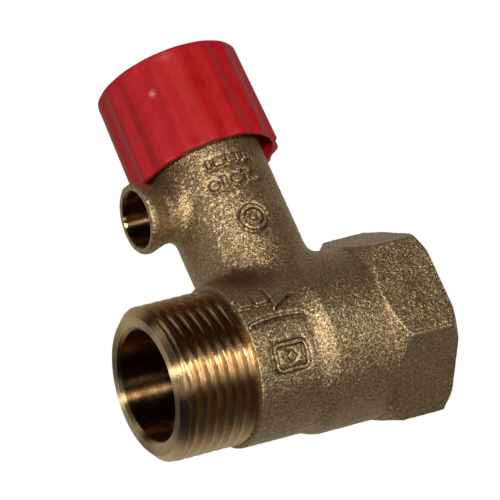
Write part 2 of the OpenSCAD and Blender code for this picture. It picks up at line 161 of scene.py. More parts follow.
def rounded(points, radii, seg=4, closed=True):
    """Polyline with rounded corners. points (n,2), radii per corner."""
    P = np.asarray(points, float)
    out = []
    n = len(P)
    for i in range(n):
        if not closed and i in (0, n - 1):
            out.append(P[i])
            continue
        a, b, c = P[i - 1], P[i], P[(i + 1) % n]
        r = radii[i] if hasattr(radii, "__len__") else radii
        u, w = a - b, c - b
        lu, lw = np.linalg.norm(u), np.linalg.norm(w)
        if r <= 0 or lu < 1e-9 or lw < 1e-9:
            out.append(b)
            continue
        u, w = u / lu, w / lw
        ang = math.acos(max(-1, min(1, float(u @ w))))
        if ang > math.radians(177):
            out.append(b)
            continue
        t = min(r / math.tan(ang / 2), lu * 0.49, lw * 0.49)
        r = t * math.tan(ang / 2)
        bis = (u + w) / np.linalg.norm(u + w)
        cen = b + bis * (r / math.sin(ang / 2))
        p0, p1 = b + u * t, b + w * t
        a0 = math.atan2(*(p0 - cen)[::-1])
        a1 = math.atan2(*(p1 - cen)[::-1])
        d = (a1 - a0 + math.pi) % (2 * math.pi) - math.pi
        for k in range(seg + 1):
            t_ = a0 + d * k / seg
            out.append(cen + r * np.array([math.cos(t_), math.sin(t_)]))
    return np.array(out)


def densify(P, step, closed=True):
    out = []
    n = len(P)
    for i in range(n if closed else n - 1):
        a, b = P[i], P[(i + 1) % n]
        k = max(1, int(np.ceil(np.linalg.norm(b - a) / step)))
        for t in range(k):
            out.append(a + (b - a) * t / k)
    if not closed:
        out.append(P[-1])
    return np.array(out)


def boolean(a, b, op, keep=False):
    m = a.modifiers.new("b", "BOOLEAN")
    m.object, m.operation, m.solver = b, op, "MANIFOLD"
    m.material_mode = "TRANSFER"
    bpy.context.view_layer.update()
    dg = bpy.context.evaluated_depsgraph_get()
    me = bpy.data.meshes.new_from_object(a.evaluated_get(dg), preserve_all_data_layers=False, depsgraph=dg)
    if len(me.polygons) == 0 or (op == "UNION" and len(me.polygons) <= 0):
        raise RuntimeError("boolean gave nothing: " + a.name + " " + b.name)
    a.modifiers.clear()
    old = a.data
    a.data = me
    bpy.data.meshes.remove(old)
    if not keep:
        bpy.data.objects.remove(b)
    return a


def set_mat(ob, mat):
    ob.data.materials.clear()
    ob.data.materials.append(mat)
    return ob


def soft_shade(ob, angle=32, grain_slots=()):
    """Smooth shading with sharp edges where faces turn by more than the angle or the finish changes."""
    me = ob.data
    me.polygons.foreach_set("use_smooth", np.ones(len(me.polygons), bool))
    nl = len(me.loops)
    le = np.zeros(nl, np.int32)
    me.loops.foreach_get("edge_index", le)
    tot = np.zeros(len(me.polygons), np.int32)
    me.polygons.foreach_get("loop_total", tot)
    lp = np.repeat(np.arange(len(tot)), tot)
    nor = np.zeros(len(tot) * 3, np.float32)
    me.polygons.foreach_get("normal", nor)
    nor = nor.reshape(-1, 3)
    mi = np.zeros(len(tot), np.int32)
    me.polygons.foreach_get("material_index", mi)
    order = np.argsort(le, kind="stable")
    e, f = le[order], lp[order]
    first = np.ones(len(e), bool)
    first[1:] = e[1:] != e[:-1]
    idx = np.nonzero(first)[0]
    cnt = np.diff(np.append(idx, len(e)))
    sharp = np.zeros(len(me.edges), bool)
    two = idx[cnt == 2]
    fa, fb = f[two], f[two + 1]
    dot = (nor[fa] * nor[fb]).sum(1)
    sh = dot < math.cos(math.radians(angle))
    if grain_slots:
        g = np.isin(mi, list(grain_slots))
        both = g[fa] & g[fb]
        sh = np.where(both, dot < math.cos(math.radians(75)), sh)
        sh |= (g[fa] != g[fb]) & (dot < math.cos(math.radians(12)))
    sharp[e[two]] = sh
    sharp[e[idx[cnt != 2]]] = True
    at = me.attributes.get("sharp_edge") or me.attributes.new("sharp_edge", "BOOLEAN", "EDGE")
    at.data.foreach_set("value", sharp)
    me.update()


def place(ob):
    """From millimetres around the branch axis to the row frame in metres."""
    ob.data.transform(Matrix.Translation((BX, 0, 0)))
    ob.data.transform(Matrix.Scale(0.001, 4))
    ob.data.update()
    return ob


# ---------------------------------------------------------------- noise

def _hash(ix, iy, iz, seed):
    h = (ix * 374761393 + iy * 668265263 + iz * 2147483647 + seed * 1274126177) & 0xFFFFFFFF
    h = ((h ^ (h >> 13)) * 1274126177) & 0xFFFFFFFF
    h = (h ^ (h >> 16)) & 0xFFFFFFFF
    h = ((h * 2246822519) & 0xFFFFFFFF) ^ (h >> 11)
    return (h & 0xFFFFFF).astype(np.float64) / 0xFFFFFF


def vnoise(P, scale, seed):
    """Smooth value noise in -1..1 at points P (n,3); scale is the cell size."""
    q = P / scale
    i = np.floor(q).astype(np.int64)
    f = q - i
    f = f * f * (3 - 2 * f)
    out = np.zeros(len(P))
    for dx in (0, 1):
        for dy in (0, 1):
            for dz in (0, 1):
                w = (f[:, 0] if dx else 1 - f[:, 0]) * (f[:, 1] if dy else 1 - f[:, 1]) * (f[:, 2] if dz else 1 - f[:, 2])
                out += w * _hash(i[:, 0] + dx, i[:, 1] + dy, i[:, 2] + dz, seed)
    return out * 2 - 1


# ---------------------------------------------------------------- the cast body as a distance field

def smin(a, b, k):
    h = np.clip(0.5 + 0.5 * (b - a) / k, 0, 1)
    return b * (1 - h) + a * h - k * h * (1 - h)


def smax(a, b, k):
    return -smin(-a, -b, k)


def sstep(x, a, b):
    t = np.clip((x - a) / (b - a), 0, 1)
    return t * t * (3 - 2 * t)


def box2(u, v, hu, hv, r=0.0):
    du, dv = np.abs(u) - hu + r, np.abs(v) - hv + r
    return np.hypot(np.maximum(du, 0), np.maximum(dv, 0)) + np.minimum(np.maximum(du, dv), 0) - r


def body_sdf(x, y, z, marks=True):
    rx = np.hypot(y, z)
    rz = np.hypot(x, y)
    # barrel with its step in diameter
    R = R1 + (R2 - R1) * sstep(x, -1.7, 2.1)
    bar = smax(smax(rx - R, SHOULDER - x, 0.35), x - 21.0, 0.3)
    # hexagon, corners up and down
    q = smax(smax(np.abs(y), np.abs(0.5 * y + 0.8660254 * z), 0.3), np.abs(0.5 * y - 0.8660254 * z), 0.3) - HEXH
    left = (rx - (14.6 + (x - 12.3) * 1.15)) * 0.656
    right = (rx - (16.0 + (FEM_X - x) * 1.15)) * 0.656
    hx = smax(smax(smax(q, left, 0.16), right, 0.3), x - (FEM_X + 0.6), 0.2)
    hx = smax(hx, 11.0 - x, 0.2)
    d = smin(bar, hx, 0.18)
    # branch
    br = smax(smax(rz - BR, z - BTOP, 0.5), 1.0 - z, 0.2)
    d = smin(d, br, 2.1)
    # discharge spout
    s = -x
    rs = np.hypot(y, z - SPZ)
    prof = 5.22 + 0.98 * np.clip((s - 12.4) / 2.6, 0, 1) - 0.55 * np.clip((s - 15.3) / 1.3, 0, 1) ** 2
    sp = smax(smax((rs - prof) * 0.95, s - (SPL + 0.4), 0.3), 1.0 - s, 0.2)
    sp = smax(sp, -np.maximum(rz - 13.5, 34.72 - z), 0.15)
    d = smin(d, sp, 1.7)
    if marks:
        mk, out = mark_sdf(x, y, z, rx, rz, R)
        d = d + 0.17 * np.exp(-((np.maximum(out, 0) - 0.30) / 0.26) ** 2)
        d = smin(d, mk, 0.14)
    # machined neck above the casting
    nk = np.maximum(np.maximum(rz - NECK_R, z - (NECK_Z + 1.0)), 30 - z)
    return np.minimum(d, nk)


def mark_sdf(x, y, z, rx, rz, R):
    """Plain raised casting marks: a flow arrow, an underline, a framed pad, bars, dots and a ring."""
    h = 0.55
    T = np.arctan2(z, -y)
    v = 14.04 * (T - math.radians(19))
    shaft = box2(np.abs(x + 9.6) - 1.55, v, 1.15, 0.8, 0.25)
    head = np.maximum(np.abs(v) * 0.87 + (x + 2.6) * 0.5, -6.4 - x)
    m = np.minimum(shaft, head)
    v2 = 14.04 * (T - math.radians(3.0)) + 0.022 * (x + 7) ** 2 - 0.2
    m = np.minimum(m, box2(x + 7.0, v2, 5.0, 0.28, 0.2))
    v3 = 14.04 * (T + math.radians(25))
    fr = np.abs(box2(x + 6.5, v3, 2.9, 2.15, 0.9)) - 0.33
    di = (np.abs(x + 6.5) + np.abs(v3) - 0.95) * 0.707
    m = np.minimum(m, np.minimum(fr, di))
    on_bar = smax(m, np.abs(rx - R) - h, 0.12)
    on_bar = np.maximum(on_bar, y)  # front half only
    out_bar = np.where(y < 0, m, 9.0) + np.maximum(np.abs(rx - R) - 0.8, 0)
    # marks on the branch
    ph = np.arctan2(y, x)
    dphi = (ph + math.radians(95.0) + math.pi) % (2 * math.pi) - math.pi
    u = BR * dphi
    m2 = np.full(np.broadcast(x, y, z).shape, 9.0)
    for k, w in ((-2, 0.35), (-1, 0.8), (0, 0.35), (1, 0.35), (2, 0.8)):
        m2 = np.minimum(m2, box2(u - k * 1.75, z - 32.2, w, 0.75, 0.2))
    for k in range(-2, 3):
        if k % 2:
            m2 = np.minimum(m2, box2(u - k * 2.0, z - 28.3, 0.38, 1.15, 0.2))
        else:
            m2 = np.minimum(m2, np.hypot(u - k * 2.0, z - 28.3) - 0.85)
    ring = np.abs(np.hypot(u, z - 20.8) - 2.0) - 0.36
    dot = np.hypot(u, z - 20.8) - 0.62
    m2 = np.minimum(m2, np.minimum(ring, dot))
    on_br = smax(m2, np.abs(rz - BR) - h, 0.12)
    on_br = np.maximum(on_br, y)
    out_br = np.where(y < 0, m2, 9.0) + np.maximum(np.abs(rz - BR) - 0.8, 0)
    return np.minimum(on_bar, on_br), np.minimum(out_bar, out_br)


def surface_nets(fn, lo, hi, h):
    """Mesh of fn = 0 over a box: blocks near the surface are sampled, then one vertex per cell."""
    lo = np.asarray(lo, float)
    B = 8
    nb = np.ceil((np.asarray(hi, float) - lo) / (h * B)).astype(int)
    n = nb * B + 1
    F = np.empty(n, np.float32)
    bi = np.stack(np.meshgrid(*[np.arange(k) for k in nb], indexing="ij"), -1).reshape(-1, 3)
    cen = lo + (bi + 0.5) * B * h
    dc = fn(cen[:, 0], cen[:, 1], cen[:, 2])
    F[...] = 1.0
    near = np.abs(dc) < B * h * 0.95 + 0.6
    for b, dv in zip(bi[~near], dc[~near]):
        if dv < 0:
            F[b[0] * B:b[0] * B + B + 1, b[1] * B:b[1] * B + B + 1, b[2] * B:b[2] * B + B + 1] = -1.0
    o = np.stack(np.meshgrid(*[np.arange(B + 1)] * 3, indexing="ij"), -1).reshape(-1, 3)
    act = bi[near]
    for c in range(0, len(act), 1500):
        a = act[c:c + 1500]
        idx = a[:, None, :] * B + o[None]
        p = lo + idx * h
        val = fn(p[..., 0], p[..., 1], p[..., 2]).astype(np.float32)
        F[idx[..., 0], idx[..., 1], idx[..., 2]] = val
    neg = F < 0
    cs = np.zeros(np.array(F.shape) - 1, np.uint8)
    for dx in (0, 1):
        for dy in (0, 1):
            for dz in (0, 1):
                cs += neg[dx:n[0] - 1 + dx, dy:n[1] - 1 + dy, dz:n[2] - 1 + dz]
    ci = np.argwhere((cs > 0) & (cs < 8))
    vid = np.full(cs.shape, -1, np.int32)
    vid[ci[:, 0], ci[:, 1], ci[:, 2]] = np.arange(len(ci))
    acc = np.zeros((len(ci), 3))
    cnt = np.zeros(len(ci))
    corners = [(dx, dy, dz) for dx in (0, 1) for dy in (0, 1) for dz in (0, 1)]
    for a in corners:
        for ax in range(3):
            if a[ax]:
                continue
            b = list(a)
            b[ax] = 1
            fa = F[ci[:, 0] + a[0], ci[:, 1] + a[1], ci[:, 2] + a[2]].astype(float)
            fb = F[ci[:, 0] + b[0], ci[:, 1] + b[1], ci[:, 2] + b[2]].astype(float)
            cr = (fa < 0) != (fb < 0)
            t = np.where(cr, fa / np.where(fa == fb, 1, fa - fb), 0)
            p = np.array(a, float)[None] + t[:, None] * (np.array(b, float) - np.array(a, float))[None]
            acc += np.where(cr[:, None], p, 0)
            cnt += cr
    V = lo + (ci + acc / cnt[:, None]) * h
    quads = []
    for ax in range(3):
        u, w = [k for k in range(3) if k != ax]
        sl_a = [slice(1, n[k] - 1) for k in range(3)]
        sl_b = list(sl_a)
        sl_a[ax] = slice(0, n[ax] - 1)
        sl_b[ax] = slice(1, n[ax])
        na, nb_ = neg[tuple(sl_a)], neg[tuple(sl_b)]
        e = np.argwhere(na != nb_)
        s = na[e[:, 0], e[:, 1], e[:, 2]]
        base = e + 1
        base[:, ax] -= 1
        def cell(du, dw):
            c = base.copy()
            c[:, u] += du
            c[:, w] += dw
            return vid[c[:, 0], c[:, 1], c[:, 2]]
        q = np.stack([cell(-1, -1), cell(0, -1), cell(0, 0), cell(-1, 0)], -1)
        flip = s if ax != 1 else ~s
        q[~flip] = q[~flip][:, ::-1]
        quads.append(q)
    quads = np.vstack(quads)
    # pull the vertices onto the true surface
    for _ in range(2):
        d = fn(V[:, 0], V[:, 1], V[:, 2])
        g = np.zeros_like(V)
        for k in range(3):
            e = np.zeros(3)
            e[k] = 0.02
            g[:, k] = (fn(*(V + e).T) - fn(*(V - e).T)) / 0.04
        g2 = (g * g).sum(1).clip(0.2, 4)
        step = (-d / g2)[:, None] * g
        L = np.linalg.norm(step, axis=1).clip(1e-9)
        V = V + step * np.minimum(1, 0.5 * h / L)[:, None]
    if volume_sign(V, quads, []) < 0:
        quads = quads[:, ::-1]
    return V, quads


def quad_normals(V, Q):
    n = np.cross(V[Q[:, 2]] - V[Q[:, 0]], V[Q[:, 3]] - V[Q[:, 1]])
    N = np.zeros_like(V)
    for k in range(4):
        np.add.at(N, Q[:, k], n)
    return N / np.linalg.norm(N, axis=1).clip(1e-12)[:, None]


def cast_body():
    h = 0.19
    V, Q = surface_nets(body_sdf, (-18.2, -18.4, -18.6), (26.0, 18.4, 41.8), h)
    N = quad_normals(V, Q)
    # sand-cast skin: fine grain, soft waves and a faint parting line around y = 0
    g = 0.030 * vnoise(V, 0.62, 3) + 0.022 * vnoise(V, 0.36, 5) + 0.045 * vnoise(V, 3.4, 9)
    part = 0.07 * np.exp(-(V[:, 1] / 0.28) ** 2) * (V[:, 2] < BTOP - 0.5)
    rz = np.hypot(V[:, 0], V[:, 1])
    keep = ~((V[:, 2] > BTOP - 0.1) & (rz < NECK_R + 0.3))
    V = V + N * ((g + part - 0.06) * keep)[:, None]
    return make_mesh("valve_body_skin", V, Q)


# ---------------------------------------------------------------- threads and machined cuts

def thread_depth(x, n, x0, fade, mouth=0.755, foot=0.13):
    """Share of full depth at stations x and n angles of a right-hand thread along x."""
    th = np.arange(n) / n
    u = (x[:, None] - x0) / PITCH + th[None, :]
    w = np.abs((u % 1.0) - 0.5) * PITCH
    t = np.clip((mouth - w) / (mouth - foot), 0, 1)
    t = 0.55 * t + 0.45 * t * t * (3 - 2 * t)
    return t * fade[:, None]


def male_thread():
    n = 264
    x = np.arange(MALE_X, SHOULDER + 0.55, 0.085)
    fade = (1 - 0.96 * sstep(x, -14.0, -13.25)) * (0.45 + 0.55 * sstep(x, -26.8, -22.5))
    r = RM - 0.95 * thread_depth(x, n, MALE_X + 0.3, fade, 0.62, 0.1)
    r = np.minimum(r, (11.8 + (x - MALE_X) * 1.0)[:, None])
    r = np.where(x[:, None] > SHOULDER - 0.62, np.minimum(r, 12.95), r)
    return revolve("thread", "x", x, r, n)


def run_cutter():
    n = 240
    st = [(-28.5, 10.15), (MALE_X, 10.15), (MALE_X + 0.6, 9.55), (-9.0, 9.55), (-9.0, 10.5), (8.24, 10.5),
          (8.24, 11.25), (9.36, 11.25), (9.36, 10.5), (10.4, 10.5), (10.4, 12.2), (11.2, 13.3), (12.1, 13.3)]
    x = [p[0] for p in st]
    r = [np.full(n, p[1]) for p in st]
    xt = np.arange(12.15, FEM_X, 0.085)
    fade = 1 - 0.98 * sstep(xt, 22.2, 23.2)
    dep = thread_depth(xt, n, FEM_X - 0.4, fade)
    base = np.maximum(RF, 13.6 - (FEM_X - xt))
    for i in range(len(xt)):
        x.append(xt[i])
        r.append(np.maximum(RF + TDEPTH * dep[i], base[i]))
    x += [FEM_X, FEM_X + 1.5]
    r += [np.full(n, 13.6), np.full(n, 13.6)]
    return revolve("cut_run", "x", np.array(x), np.array(r), n)


def branch_cutter():
    p = [(3.25, 8.0), (3.25, 16.86), (3.4, 17.0), (4.1, 17.0), (4.3, 16.85), (4.85, 15.5), (7.0, 15.5), (7.0, 34.75), (7.46, 35.0)]
    for k in range(3):
        p += [(7.46, 35.38 + k), (8.04, 35.68 + k), (8.04, 35.92 + k), (7.46, 36.22 + k)]
    p += [(7.46, 38.7), (7.96, NECK_Z), (7.96, NECK_Z + 2)]
    p = np.array(p)
    return revolve("cut_branch", "z", p[:, 1], p[:, 0], 144)


def spout_cutter():
    p = np.array([(0.0, 4.2), (7.9, 4.2), (7.9, SPB), (SPL - 0.4, SPB), (SPL, SPB + 0.25), (SPL + 1, SPB + 0.25)])
    return revolve("cut_spout", "-x", p[:, 0], p[:, 1], 144, at=(0, 0, SPZ))


def build_body(cast, turned):
    a = set_mat(cast_body(), cast)
    a = boolean(a, set_mat(male_thread(), turned), "UNION")
    face = revolve("cut_f", "x", [FEM_X, FEM_X + 3], [22, 22], 64)
    a = boolean(a, set_mat(face, turned), "DIFFERENCE")
    face = revolve("cut_f", "-x", [SPL, SPL + 3], [8.5, 8.5], 64, at=(0, 0, SPZ))
    a = boolean(a, set_mat(face, cast), "DIFFERENCE")
    face = revolve("cut_f", "z", [NECK_Z, NECK_Z + 3], [12, 12], 64)
    a = boolean(a, set_mat(face, turned), "DIFFERENCE")
    for c in (run_cutter(), branch_cutter(), spout_cutter()):
        a = boolean(a, set_mat(c, turned), "DIFFERENCE")
    me = a.data
    names = [m.name for m in me.materials]
    it = names.index(turned.name)
    cen = np.zeros(len(me.polygons) * 3, np.float32)
    me.polygons.foreach_get("center", cen)
    cen = cen.reshape(-1, 3)
    mi = np.zeros(len(me.polygons), np.int32)
    me.polygons.foreach_get("material_index", mi)
    rz = np.hypot(cen[:, 0], cen[:, 1])
    turned_zone = ((cen[:, 2] > BTOP - 0.05) & (rz < NECK_R + 0.3)) | (cen[:, 0] < SHOULDER - 0.02) & (np.hypot(cen[:, 1], cen[:, 2]) < 14.2) & (cen[:, 2] < 14.5)
    mi[turned_zone] = it
    me.polygons.foreach_set("material_index", mi)
    soft_shade(a, 30, [i for i, nme in enumerate(names) if i != it])
    a.name = "valve_body_cast"
    place(a)
    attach(a, "valve")
    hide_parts("valve_body")
    return a


# ---------------------------------------------------------------- cap

CZ0, CZ1, CRT, CRR = 35.1, 53.6, 12.75, 13.15


def cap_r(z):
    return CRR + (CRT - CRR) * (z - CZ0) / (CZ1 - CZ0)


def flute(th):
    p = ((np.degrees(th) - 10.3) / 22.5 + 0.5) % 1.0 - 0.5
    t = np.clip((np.abs(p) - 0.09) / 0.41, 0, 1)
    return np.clip((t * t / (t + 0.06) * 1.06) * (1.45 - 0.45 * t), 0, 1)


def build_cap(mat):
    n = 16 * 32
    pts = [(3.3, 45.5), (8.6, 45.5), (8.6, 51.6), (11.55, 51.6), (12.0, CZ0), (CRR, CZ0), (CRT, CZ1), (7.52, CZ1),
           (7.52, 52.28), (6.6, 52.28), (6.6, 47.3), (3.3, 47.3)]
    rad = [0.15, 0.3, 0.5, 0.6, 0.2, 0.2, 0.4, 0.15, 0.05, 0.2, 0.3, 0.15]
    P = densify(rounded(pts, rad, 5), 0.9)
    r, z = P[:, 0], P[:, 1]
    th = np.arange(n) * 2 * math.pi / n
    outer = np.clip((r - 12.02) / 0.9, 0, 1)
    outer = np.where(z > 53.0, 1.0, outer) * (r > 11.9)
    outer = np.where((z > CZ0 + 0.6) & (z < 53.0), (r > 12.3) * 1.0, outer)
    outer = outer * (0.55 - 0.15 * (z - CZ0) / (CZ1 - CZ0)) * (1 - 0.85 * sstep(z, CZ1 - 1.6, CZ1 - 0.3))
    R = r[:, None] - outer[:, None] * flute(th)[None, :]
    cap = revolve("cap_shell", "z", z, R, n, closed=True)
    set_mat(cap, mat)
    # three cam lugs under the floor
    for k in range(3):
        a0 = math.radians(120 * k)
        prof = rounded([(5.6, 43.58), (8.5, 43.58), (8.5, 46.0), (5.6, 46.0)], [0.2, 0.2, 0, 0], 3)
        half = math.radians(4.0)
        rows = []
        for f in np.linspace(-1, 1, 7):
            ang = a0 + half * f
            rows.append(np.stack([prof[:, 0] * math.cos(ang), prof[:, 0] * math.sin(ang), prof[:, 1]], -1))
        rows = np.array(rows)
        m, q = rows.shape[:2]
        i, j = np.meshgrid(np.arange(m - 1), np.arange(q), indexing="ij")
        j2 = (j + 1) % q
        quads = np.stack([i * q + j, i * q + j2, (i + 1) * q + j2, (i + 1) * q + j], -1).reshape(-1, 4)
        V = rows.reshape(-1, 3)
        c0, c1 = len(V), len(V) + 1
        V = np.vstack([V, rows[0].mean(0), rows[-1].mean(0)])
        jj = np.arange(q)
        tr = np.vstack([np.stack([np.full(q, c0), (jj + 1) % q, jj], -1),
                        np.stack([np.full(q, c1), (m - 1) * q + jj, (m - 1) * q + (jj + 1) % q], -1)])
        if volume_sign(V, quads, tr) < 0:
            quads, tr = quads[:, ::-1], tr[:, ::-1]
        cap = boolean(cap, set_mat(make_mesh("lug", V, quads, tr), mat), "UNION")
    # index pip and its short tail on one flute
    a = math.radians(-133.2)
    rs = cap_r(47.3) - 0.45 * float(flute(np.array([a]))[0])
    for size, rr, zz, da in (((0.55, 0.72, 0.72), rs - 0.05, 47.3, 0.0), ((0.12, 0.17, 1.5), rs + 0.02, 45.3, -2.2)):
        t = np.linspace(0, math.pi, 15)
        b = revolve("pip", "z", -np.cos(t[1:-1]), np.sin(t[1:-1]), 24)
        mat4 = (Matrix.Rotation(a + math.radians(da), 4, "Z") @ Matrix.Translation((rr, 0, zz))
                @ Matrix.Diagonal((*size, 1)))
        b.data.transform(mat4)
        cap = boolean(cap, set_mat(b, mat), "UNION")
    soft_shade(cap, 40)
    cap.name = "cap_knob"
    place(cap)
    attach(cap, "test_cap")
    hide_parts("cap")
    # top plug: dished disc with a moulded ring
    P = rounded([(0.0, 52.32), (7.46, 52.32), (7.46, 53.46), (6.5, 53.46), (6.1, 53.2), (1.6, 53.05), (1.3, 53.25), (0.0, 53.25)],
                [0, 0.15, 0.25, 0.2, 0.3, 0.2, 0.15, 0], 4, closed=False)
    P = densify(P, 0.6, closed=False)
    P[:, 0] = np.maximum(P[:, 0], 0.02)
    plug = revolve("cap_top_plug", "z", P[:, 1], P[:, 0], 144)
    set_mat(plug, mat)
    soft_shade(plug, 35)
    place(plug)
    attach(plug, "test_cap")
    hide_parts("cap_plug")
    return cap


# ---------------------------------------------------------------- coil springs

def coil(name, rm, wire, h, turns, dead, axis, at, ground):
    seg, sides = ((56, 14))
    n = int(turns * seg)
    u = turns * np.arange(n + 1) / n
    closed = dead * wire * 1.02
    rise = h - wire - 2 * closed
    z = np.where(u < dead, wire / 2 + u * wire * 1.02,
                 np.where(u > turns - dead, h - wire / 2 - (turns - u) * wire * 1.02,
                          wire / 2 + closed + (u - dead) / (turns - 2 * dead) * rise))
    b = np.arange(sides) * 2 * math.pi / sides
    r = rm + wire / 2 * np.cos(b)[None, :]
    a = (2 * math.pi * u)[:, None]
    zz = z[:, None] + wire / 2 * np.sin(b)[None, :]
    if ground:
        zz = np.clip(zz, wire * 0.12, h - wire * 0.12)
    c, s = r * np.cos(a), r * np.sin(a)
    if axis == "z":
        V = np.stack([c, s, zz], -1)
    else:
        V = np.stack([zz, s, -c], -1)
    V = V.reshape(-1, 3) + np.asarray(at)
    i, j = np.meshgrid(np.arange(n), np.arange(sides), indexing="ij")
    j2 = (j + 1) % sides
    Q = np.stack([i * sides + j, i * sides + j2, (i + 1) * sides + j2, (i + 1) * sides + j], -1).reshape(-1, 4)
    k0, k1 = len(V), len(V) + 1
    V = np.vstack([V, V[:sides].mean(0), V[n * sides:(n + 1) * sides].mean(0)])
    jj = np.arange(sides)
    T = np.vstack([np.stack([np.full(sides, k0), (jj + 1) % sides, jj], -1),
                   np.stack([np.full(sides, k1), n * sides + jj, n * sides + (jj + 1) % sides], -1)])
    if volume_sign(V, Q, T) < 0:
        Q, T = Q[:, ::-1], T[:, ::-1]
    return make_mesh(name, V, Q, T)


def hook_spring(ob, body, axis, fixed, moving):
    """The moving end follows a body and the fixed end stays, with the coils between sharing the travel."""
    k = "xyz".index(axis)
    vg = ob.vertex_groups.new(name="travel")
    co = np.zeros(len(ob.data.vertices) * 3, np.float32)
    ob.data.vertices.foreach_get("co", co)
    t = np.clip((co.reshape(-1, 3)[:, k] - fixed) / (moving - fixed), 0, 1)
    for q in range(101):
        idx = np.nonzero(np.round(t * 100).astype(int) == q)[0]
        if q and len(idx):
            vg.add(idx.tolist(), q / 100.0, "REPLACE")
    target = bpy.data.objects["body:" + body]
    m = ob.modifiers.new("travel", "HOOK")
    m.object = target
    m.vertex_group = "travel"
    m.falloff_type = "NONE"
    bpy.context.view_layer.update()
    m.matrix_inverse = target.matrix_world.inverted() @ ob.matrix_world


def build_springs(mat):
    a = coil("relief_coil", 5.5, 1.5, 13.46, 5.5, 0.9, "z", (0, 0, 20.52), True)
    set_mat(a, mat)
    soft_shade(a, 50)
    place(a)
    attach(a, "valve")
    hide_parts("relief_spring")
    hook_spring(a, "spindle", "z", 0.03398, 0.02052)
    b = coil("check_coil", 4.3, 0.7, 7.56, 5.5, 0.9, "x", (-1.38, 0, 0), False)
    set_mat(b, mat)
    soft_shade(b, 50)
    place(b)
    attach(b, "valve")
    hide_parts("check_spring")
    hook_spring(b, "poppet", "x", (BX + 6.18) / 1000, (BX - 1.38) / 1000)


# ---------------------------------------------------------------- materials

class Mat:
    """Small helper for node materials; coordinates are the object's, in millimetres."""

    def __init__(self, name):
        self.m = bpy.data.materials.new(name)
        self.m.use_nodes = True
        self.t = self.m.node_tree
        self.t.nodes.clear()
        self.out = self.n("ShaderNodeOutputMaterial")
        self.b = self.n("ShaderNodeBsdfPrincipled")
        self.l(self.b.outputs[0], self.out.inputs[0])
        tc = self.n("ShaderNodeTexCoord")
        mp = self.n("ShaderNodeVectorMath")
        mp.operation = "SCALE"
        mp.inputs["Scale"].default_value = 1000.0
        self.l(tc.outputs["Object"], mp.inputs[0])
        self.co = mp.outputs[0]

    def n(self, kind):
        return self.t.nodes.new(kind)

    def l(self, a, b):
        self.t.links.new(a, b)

    def noise(self, scale, detail=2.0, rough=0.5, co=None, dist=0.0, out="Fac"):
        x = self.n("ShaderNodeTexNoise")
        x.inputs["Scale"].default_value = scale
        x.inputs["Detail"].default_value = detail
        x.inputs["Roughness"].default_value = rough
        x.inputs["Distortion"].default_value = dist
        self.l(co or self.co, x.inputs["Vector"])
        return x.outputs[out]

    def voronoi(self, scale, feature="F1", out="Distance", co=None):
        x = self.n("ShaderNodeTexVoronoi")
        x.feature = feature
        x.inputs["Scale"].default_value = scale
        self.l(co or self.co, x.inputs["Vector"])
        return x.outputs[out]

    def stretch(self, sx, sy, sz):
        x = self.n("ShaderNodeVectorMath")
        x.operation = "MULTIPLY"
        x.inputs[1].default_value = (sx, sy, sz)
        self.l(self.co, x.inputs[0])
        return x.outputs[0]

    def ramp(self, fac, stops, mode="LINEAR"):
        x = self.n("ShaderNodeValToRGB")
        x.color_ramp.interpolation = mode
        e = x.color_ramp.elements
        while len(e) < len(stops):
            e.new(0.5)
        for k, (p, c) in enumerate(stops):
            e[k].position = p
            e[k].color = (*c, 1) if hasattr(c, "__len__") else (c, c, c, 1)
        self.l(fac, x.inputs[0])
        return x.outputs[0]

    def mapr(self, v, a, b, c, d, clamp=True):
        x = self.n("ShaderNodeMapRange")
        x.clamp = clamp
        for k, val in zip(("From Min", "From Max", "To Min", "To Max"), (a, b, c, d)):
            x.inputs[k].default_value = val
        self.l(v, x.inputs["Value"])
        return x.outputs[0]

    def math(self, op, a, b=None, clamp=False):
        x = self.n("ShaderNodeMath")
        x.operation = op
        x.use_clamp = clamp
        for k, v in enumerate((a, b)):
            if v is None:
                continue
            if hasattr(v, "is_linked") or hasattr(v, "links"):
                self.l(v, x.inputs[k])
            else:
                x.inputs[k].default_value = v
        return x.outputs[0]

    def mix(self, fac, a, b, mode="MIX"):
        x = self.n("ShaderNodeMix")
        x.data_type = "RGBA"
        x.blend_type = mode
        for s, v in ((x.inputs[0], fac), (x.inputs[6], a), (x.inputs[7], b)):
            if hasattr(v, "links"):
                self.l(v, s)
            else:
                s.default_value = (*v, 1) if hasattr(v, "__len__") and len(v) == 3 else v
        return x.outputs[2]

    def bump(self, h, dist, strength=1.0, normal=None):
        x = self.n("ShaderNodeBump")
        x.inputs["Strength"].default_value = strength
        x.inputs["Distance"].default_value = dist
        self.l(h, x.inputs["Height"])
        if normal:
            self.l(normal, x.inputs["Normal"])
        return x.outputs[0]

    def pointiness(self):
        g = self.n("ShaderNodeNewGeometry")
        return g.outputs["Pointiness"]

    def set(self, **kw):
        for k, v in kw.items():
            s = self.b.inputs[k.replace("_", " ")]
            if hasattr(v, "links"):
                self.l(v, s)
            else:
                s.default_value = (*v, 1) if hasattr(v, "__len__") and len(v) == 3 and s.type == "RGBA" else v
        return self.m


